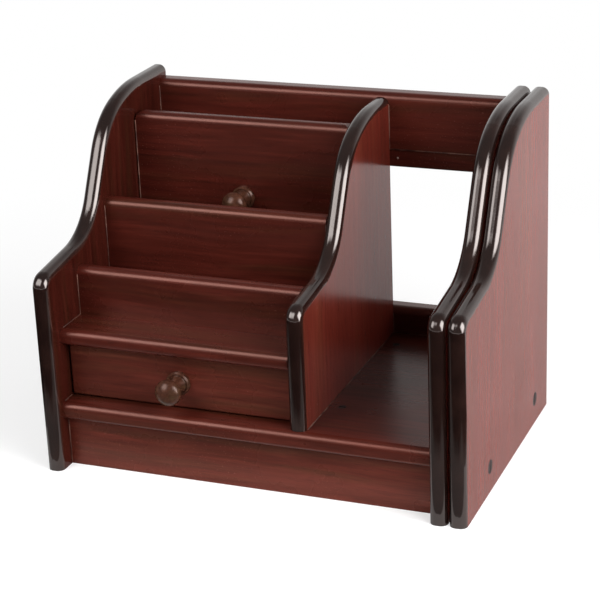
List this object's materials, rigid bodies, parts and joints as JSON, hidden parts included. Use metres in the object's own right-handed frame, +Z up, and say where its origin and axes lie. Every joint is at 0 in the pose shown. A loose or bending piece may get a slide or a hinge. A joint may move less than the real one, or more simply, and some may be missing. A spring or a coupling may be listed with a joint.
{
  "type": "pen stand with drawer",
  "caption": "Dark stained wooden desk stand: stepped pen compartments over a drawer, beside a book bay with a sliding book end.",
  "frame": {"origin": "on the floor, at the middle of the closed stand", "axes": "+X along the width towards the book end, +Y from the front to the back, +Z up"},
  "size_m": [0.3042, 0.2074, 0.2393],
  "materials": {
    "stained_wood": "dark red-brown stain under satin lacquer",
    "plain_wood": "thin brown stain, unpolished",
    "sheet_wood": "stained thin board",
    "dowel_wood": "bare beech",
    "turned_wood": "turned, dark stain under gloss lacquer",
    "screw_steel": "zinc plated",
    "dark_screw_steel": "black oxide"
  },
  "bodies": {
    "carcass": {"left_side_panel": "stained_wood", "right_side_panel": "stained_wood", "divider_panel": "stained_wood", "base_board": "stained_wood", "front_apron": "stained_wood", "rear_apron": "stained_wood", "rear_lip": "stained_wood", "back_rail": "stained_wood", "back_rail_strip": "stained_wood", "back_panel": "sheet_wood", "drawer_shelf": "stained_wood", "front_partition": "stained_wood", "middle_partition": "stained_wood", "front_slide_guide": "plain_wood", "rear_slide_guide": "plain_wood", "guide_screws": "dark_screw_steel", "joint_dowels": "dowel_wood"},
    "drawer": {"drawer_front": "stained_wood", "drawer_left_side": "plain_wood", "drawer_right_side": "plain_wood", "drawer_back": "plain_wood", "drawer_bottom": "sheet_wood", "drawer_knob": "turned_wood", "drawer_knob_screw": "screw_steel"},
    "book_end": {"book_end_panel": "stained_wood", "front_slide_bar": "plain_wood", "rear_slide_bar": "plain_wood", "slide_cross_bar": "plain_wood", "book_end_screws": "dark_screw_steel", "cross_bar_screws": "screw_steel"},
    "lift_partition": {"lift_out_partition": "stained_wood", "partition_pins": "dowel_wood", "partition_knob": "turned_wood", "partition_knob_screw": "screw_steel"}
  },
  "joints": [
    {"name": "drawer_slide", "type": "slide", "parent": "carcass", "child": "drawer", "axis": [0, -1, 0], "range_m": [0, 0.14]},
    {"name": "book_end_slide", "type": "slide", "parent": "carcass", "child": "book_end", "axis": [1, 0, 0], "range_m": [0, 0.128]},
    {"name": "partition_lift", "type": "slide", "parent": "carcass", "child": "lift_partition", "axis": [0, 0, 1], "range_m": [0, 0.14]}
  ]
}
